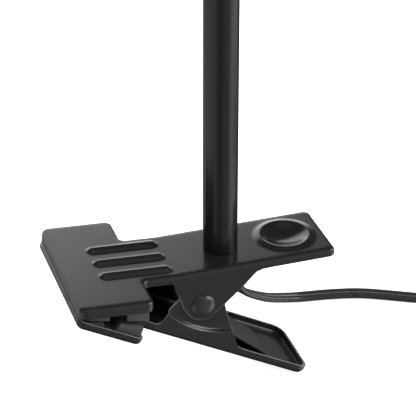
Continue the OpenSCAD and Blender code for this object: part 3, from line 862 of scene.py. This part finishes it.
shell = Shell()
shell.add(thread(2.5, 0.3, 0.8, -15.5, 15.5, 32, 6), AT_TILT @ TO_Y)
socket_head = [circle(r, z, 36) for r, z in (
    (4.4, 0), (4.6, 0.2), (4.6, 1.9), (4.1, 2.7), (3.2, 3.2), (2.3, 3.2), (hexagon(1.9), 3.1),
    (hexagon(1.9), 1.2))]
shell.add(loft(socket_head), AT_TILT @ TO_MINUS_Y @ shift(0, 0, FORK_GAP + FORK_T))
piece("tilt_screw_turned", shell, "knuckle", ["tilt_screw"], [ZINC])

FLUTES = 12
knob = []
for z, r, wave in ((0.0, 6.9, 0), (0.35, 7.6, 0.3), (0.9, 8.2, 0.85), (2, 8.3, 1), (4, 8.3, 1),
                   (6, 8.3, 1), (7.1, 8.2, 0.85), (7.7, 7.6, 0.3), (8, 6.8, 0), (8, 5.4, 0),
                   (7.6, 5.0, 0), (7.5, 2.0, 0), (7.5, 0.4, 0)):
    knob.append(circle(lambda a: r + wave * (0.075 + 0.275 * math.cos(FLUTES * a)), z, 144))
piece("tilt_knob_moulding", Shell().add(loft(knob), AT_TILT @ TO_Y @ shift(0, 0, 11.3)), "knob",
      ["tilt_knob"], [MOULDED])

# ---------- shade, lampholder, bulb ----------
WALL = 0.9
SHADE_SIDES = 120
side = [(5.05, 26.0), (9, 26.0), (13.5, 26.0)]
side += [(15 + 5 * math.sin(math.radians(a)), 31 - 5 * math.cos(math.radians(a)))
         for a in range(0, 91, 9)]
side += [(20, 40), (20, 50), (20, 58.5)]
side += [(20 + 2 * smooth(k / 6), 59.5 + 6.5 * k / 6) for k in range(1, 6)]
side += [(22 + 23 * k / 24, 66 + 58 * (k / 24) ** 1.25) for k in range(1, 24)]
outer = side + [(44.8, 123.4), (45.0, 123.8), (44.95, 124.2), (44.6, 124.5)]
inner = []
for i, (r, z) in enumerate(side):
    a, b = side[max(i - 1, 0)], side[min(i + 1, len(side) - 1)]
    length = math.dist(a, b)
    inner.append((max(r - WALL * (b[1] - a[1]) / length, 5.05), z + WALL * (b[0] - a[0]) / length))
inner += [(43.9, 123.9), (44.1, 124.3)]
profile = outer + inner[::-1]
form = lathe(profile, SHADE_SIDES, True)
inside = [1 if len(outer) < k // SHADE_SIDES < len(profile) - 1 else 0
          for k in range(len(form[1]))]
piece("shade_spun", Shell().add(form, ON_HEAD, inside), "head", ["shade"],
      [SHADE, ENAMEL])

shell = Shell()
shell.add(lathe([(5, 30.2), (7.6, 30.2), (8, 30.6), (8, 35.4), (8.6, 36), (12.4, 36), (13, 36.6),
                 (13, 41.4), (12.6, 41.8), (12.6, 42.6), (13, 43), (13, 51.4), (12.4, 52),
                 (12, 52.4), (12, 65.2), (11.6, 65.8), (11, 66), (8.4, 66), (7.8, 65.6), (7.4, 65),
                 (7.4, 41), (5, 41)], 72, True), ON_HEAD)
piece("lampholder_moulding", shell, "head", ["lampholder"], [MOULDED])

shell = Shell()
shell.add(lathe([(0, 43.95), (2.4, 44.0), (3.0, 44.3), (3.0, 44.9), (0, 44.9)], 40), ON_HEAD)
shell.add(lathe([(0, 44.6), (2.9, 44.6), (5.4, 46.4), (6.2, 47.4), (0, 47.4)], 48), ON_HEAD, 1)
shell.add(thread(6.9, 0.75, 2.82, 46.6, 64.4, 64, 12), ON_HEAD)
shell.add(lathe([(0, 63.8), (6.3, 63.8), (6.9, 64.4), (6.9, 66.6), (6.6, 67.0), (0, 67.0)], 64),
          ON_HEAD)
piece("bulb_cap_screw", shell, "head", ["bulb_cap"], [NICKEL, GLOSSY])
shell = Shell().add(lathe([(0, 67), (7.0, 67), (7.3, 67.3), (8.6, 69.4), (10.8, 72.6), (13.4, 76.6),
                           (15.6, 80.0), (16.9, 81.9), (17.05, 82.4), (0, 82.4)], 72), ON_HEAD)
piece("bulb_housing_moulding", shell, "head", ["bulb_housing"], [COLLAR])
GLOBE_Z = 96


def bulb_arc(r, reach):
    """Points from the globe's tip to reach degrees from it."""
    angles = [math.radians(reach * k / 32) for k in range(33)]
    return [(r * math.sin(a), GLOBE_Z + r * math.cos(a)) for a in angles]


globe = bulb_arc(22.5, 127.2)[::-1] + bulb_arc(21.3, 129.5)[:-1] + [(16.6, 82.42)]
shell = Shell().add(lathe(globe, 72, True), ON_HEAD)
piece("bulb_globe_opal", shell, "head", ["bulb_globe"], [OPAL])

# ---------- in-line switch ----------
AT_SWITCH = shift(SWITCH_X, SWITCH_Y, GROUND)
base = [ring(0, 0, hx, hy, r, z) for hx, hy, r, z in (
    (29.6, 11.6, 4.6, 0), (30.6, 12.6, 5.6, 0.4), (31, 13, 6, 1.3), (31, 13, 6, 7.5),
    (30.7, 12.7, 5.7, 7.9), (29.2, 11.2, 4.2, 7.9), (29.2, 11.2, 4.2, 2.2))]
piece("switch_base_moulding", Shell().add(loft(base), AT_SWITCH), "clip",
      ["switch_base"], [MOULDED])
cover = [ring(0, 0, hx, hy, r, z) for hx, hy, r, z in (
    (28.8, 10.8, 4, 8.1), (30.7, 12.7, 5.7, 8.1), (31, 13, 6, 8.5), (31, 13, 6, 13.2),
    (30.8, 12.8, 6, 14.8), (30.1, 12.1, 5.8, 16.4), (28.8, 10.9, 5.2, 17.5),
    (27.2, 9.6, 4.6, 18.0), (11.4, 7.5, 2.2, 18.0), (11.0, 7.1, 1.9, 17.8),
    (10.4, 6.8, 1.5, 17.2), (10, 6.5, 1.2, 16.6), (10, 6.5, 1.2, 10.4))]
piece("switch_cover_moulding", Shell().add(loft(cover), AT_SWITCH), "clip",
      ["switch_cover"], [MOULDED])


ROCKER_R = 22.0
ROCKER_TOP = 24.6


def rocker_top(x):
    """The height of the rocker's hollow face."""
    return ROCKER_TOP - math.sqrt(ROCKER_R ** 2 - x * x)


rows = []
for k in range(25):
    x = -9 + 18 * k / 24
    top = rocker_top(x)
    edge = 0.35 if k in (0, 24) else 0.0
    rows.append([(x, -6 + edge, -1), (x, -6, -0.6), (x, -6, top - 0.5 - edge),
                 (x, -5.6, top - 0.1 - edge), (x, -5.1, top - edge), (x, 5.1, top - edge),
                 (x, 5.6, top - 0.1 - edge), (x, 6, top - 0.5 - edge), (x, 6, -0.6),
                 (x, 6 - edge, -1)])
AT_ROCKER = AT_SWITCH @ shift(0, 0, 15.5) @ turn(8, "Y")
shell = Shell().add(loft(rows), AT_ROCKER)
for x in (-5.2, -4.0, -2.8):
    grip = [ring(x, 0, 0.28, 3.2, 0.27, 2.3, 3),
            ring(x, 0, 0.24, 3.1, 0.23, rocker_top(x) + 0.15, 3)]
    shell.add(loft(grip), AT_ROCKER)
shell.add(lathe([(0, -6.3), (2, -6.3), (2, 6.3), (0, 6.3)], 32), AT_ROCKER @ TO_Y)
rocker = piece("switch_rocker_moulding", shell, "rocker", ["switch_rocker"],
               [GLOSSY])

# ---------- coil tie and plug ----------
low, high = COIL_IN - CORD_W / 2, COIL_OUT + CORD_W / 2
mid, half_r = (low + high) / 2, (high - low) / 2
rings = []
for extra, y in ((0.05, -3.3), (0.05, 3.3), (0.25, 3.5), (0.6, 3.5), (0.8, 3.3), (0.8, -3.3),
                (0.6, -3.5), (0.25, -3.5)):
    rings.append([(px, y, pz) for px, pz, _ in
                  ring(mid, COIL_H / 2, half_r + extra, COIL_H / 2 + extra, 1.6 + extra, 0)])
shell = Shell().add(loft(rings, closed=True), shift(COIL_X, COIL_Y, COIL_BASE))
tie = piece("coil_tie_band", shell, "clip", ["coil_tie"], [TIE])

AT_PLUG = Matrix.Translation(PLUG) @ TO_MINUS_X
# Heights along the plug, with its half thickness, its half width and its corner radius.
levels = [(0.0, 3.0, 3.9, 2.8), (0.3, 3.4, 4.4, 3.0), (2.2, 3.6, 4.7, 3.2), (2.5, 3.2, 4.3, 2.9),
          (3.3, 3.2, 4.4, 2.9), (3.6, 3.8, 5.2, 3.4), (5.6, 4.3, 6.1, 3.8), (5.9, 3.9, 5.7, 3.5),
          (6.7, 4.0, 5.9, 3.6), (7.0, 4.7, 7.0, 4.2), (10, 5.7, 9.4, 4.8), (13, 6.6, 12.2, 5.2),
          (15.5, 7.0, 14.6, 5.2), (18, 7.0, 16.4, 5.0), (20.5, 7.0, 17.3, 4.8),
          (22, 7.0, 17.5, 4.6)]
for k in range(4):
    z = 23 + 2.2 * k
    levels += [(z, 7.0, 17.5, 4.6), (z + 0.3, 6.7, 17.0, 4.4), (z + 0.9, 6.7, 17.0, 4.4),
               (z + 1.2, 7.0, 17.5, 4.6)]
levels += [(34.6, 7.0, 17.5, 4.6), (35.6, 6.8, 17.2, 4.4), (36, 6.4, 16.8, 4.0)]
shell = Shell().add(loft([ring(0, 0, hz, hy, r, z, 8) for z, hz, hy, r in levels]), AT_PLUG)
plug = piece("plug_moulding", shell, "clip", ["plug_body"], [MOULDED])
shell = Shell()
for y in (-9.3, 9.3):
    shell.add(lathe([(0, 35.9), (2, 35.9), (2, 45.6), (1.85, 46), (0, 46)], 40),
              AT_PLUG @ shift(0, y, 0), 1)
    shell.add(lathe([(0, 45.8), (1.85, 45.8), (1.85, 53.6), (1.6, 54.4), (1.0, 54.9), (0, 55)], 40),
              AT_PLUG @ shift(0, y, 0))
pins = piece("plug_pins_turned", shell, "clip", ["plug_pins"], [NICKEL, GLOSSY])

# ---------- CAD nodes that stay ----------
KEPT = {"pivot_sleeve": ZINC, "foot_insert": ZINC, "lock_washer": ZINC, "stem_wires": BROWN,
        "friction_washers": FIBRE, "holder_contacts": BRASS, "head_wires": BLUE,
        "switch_screws": ZINC, "switch_terminals": BRASS}
for name, finish in KEPT.items():
    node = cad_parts[name]
    node.data.materials.clear()
    node.data.materials.append(finish)

# ---------- studio ----------
def backdrop(name, verts, faces, place, glow, **finish):
    """White paper that gives off light, and isn't seen in reflections."""
    paper = paint(name + "_paper", (0.93, 0.93, 0.93), 0.9, mottle=0.006, patch=60, level=0.1,
                  **finish)
    shader = paper.node_tree.nodes["Principled BSDF"]
    shader.inputs["Emission Color"].default_value = (1, 1, 1, 1)
    shader.inputs["Emission Strength"].default_value = glow
    mesh = bpy.data.meshes.new(name)
    mesh.from_pydata(verts, [], faces)
    mesh.materials.append(paper)
    made = bpy.data.objects.new(name, mesh)
    made.location = place
    made.visible_glossy = False
    bpy.context.scene.collection.objects.link(made)
    return made


backdrop("floor", [(-9, -9, 0), (9, -9, 0), (9, 9, 0), (-9, 9, 0)], [(0, 1, 2, 3)],
         (0, 0, GROUND * MM - 0.0002), 0.85, grain=2.0, bump=0.05, spread=0.03)
# The tent is only there for the camera, and closes the view behind the floor.
tent = backdrop("tent", *lathe([(8, -0.06), (8, 2), (7.4, 4), (5, 6.5), (0, 8)], 48),
                (0, 0, 0), 0.95)
for kind in ("visible_diffuse", "visible_transmission", "visible_shadow"):
    setattr(tent, kind, False)

world = bpy.data.worlds.new("studio")
world.use_nodes = True
bpy.context.scene.world = world
sky = world.node_tree.nodes
sky_link = world.node_tree.links.new
ahead = sky.new("ShaderNodeTexCoord").outputs["Generated"]


def eased(value, low, high):
    """A smooth rise from 0 at low to 1 at high."""
    span = sky.new("ShaderNodeMapRange")
    span.interpolation_type = "SMOOTHSTEP"
    span.inputs["From Min"].default_value = low
    span.inputs["From Max"].default_value = high
    sky_link(value, span.inputs["Value"])
    return span.outputs["Result"]


def joined(a, b, how="ADD"):
    """A math node's result. Each of a and b is a float or another node's output."""
    node = sky.new("ShaderNodeMath")
    node.operation = how
    for value, socket in ((a, node.inputs[0]), (b, node.inputs[1])):
        if isinstance(value, float):
            socket.default_value = value
        else:
            sky_link(value, socket)
    return node.outputs[0]


def softbox(azimuth, elevation, core, edge, strength):
    """A round soft light in the sky, full inside core and gone at edge. 0 is +Y and 90 is +X."""
    a, e = math.radians(azimuth), math.radians(elevation)
    dot = sky.new("ShaderNodeVectorMath")
    dot.operation = "DOT_PRODUCT"
    sky_link(ahead, dot.inputs[0])
    dot.inputs[1].default_value = (math.sin(a) * math.cos(e), math.cos(a) * math.cos(e),
                                   math.sin(e))
    lobe = eased(dot.outputs["Value"], math.cos(math.radians(edge)), math.cos(math.radians(core)))
    return joined(lobe, strength, "MULTIPLY")


split = sky.new("ShaderNodeSeparateXYZ")
sky_link(ahead, split.inputs[0])
height = joined(split.outputs["Z"], 0.03)
horizon = joined(1.0, eased(joined(height, 0.0, "ABSOLUTE"), 0.05, 0.3), "SUBTRACT")
total = joined(joined(horizon, 0.25, "MULTIPLY"), 0.05)
SOFTBOXES = ((-1.5, 5, 28.5, 35.6, 2.1), (118, 30, 6, 18, 6.0), (96, 8, 8, 22, 3.5),
             (150, 20, 8, 34, 0.5), (108, -31, 14, 34, 1.25), (256, -31, 16, 38, 0.52),
             (316, -31, 12, 38, 0.38), (160, -31, 6, 32, 0.25), (200, 70, 10, 40, 0.4))
for box in SOFTBOXES:
    total = joined(total, softbox(*box))
sky["Background"].inputs["Color"].default_value = (1, 1, 1, 1)
sky_link(total, sky["Background"].inputs["Strength"])


def lamp(name, place, size, energy):
    """A round area lamp aimed at the clamp."""
    light = bpy.data.lights.new(name, "AREA")
    light.shape = "DISK"
    light.size = size
    light.energy = energy
    made = bpy.data.objects.new(name, light)
    made.location = place
    made.visible_glossy = False
    made.rotation_euler = (AIM - Vector(place)).to_track_quat("-Z", "Y").to_euler()
    bpy.context.scene.collection.objects.link(made)


AIM = Vector((0.05, 0, 0.05))
lamp("key", (-0.7, -0.5, 1.3), 1.4, 13.5)
lamp("fill", (0.9, -0.6, 0.9), 1.2, 6.5)
lamp("rim", (0.1, 1.1, 0.9), 1.2, 8)

scene = bpy.context.scene
scene.view_settings.view_transform = "Standard"
scene.view_settings.look = "None"
scene.view_settings.exposure = 0
scene.view_settings.gamma = 1

bpy.context.view_layer.update()
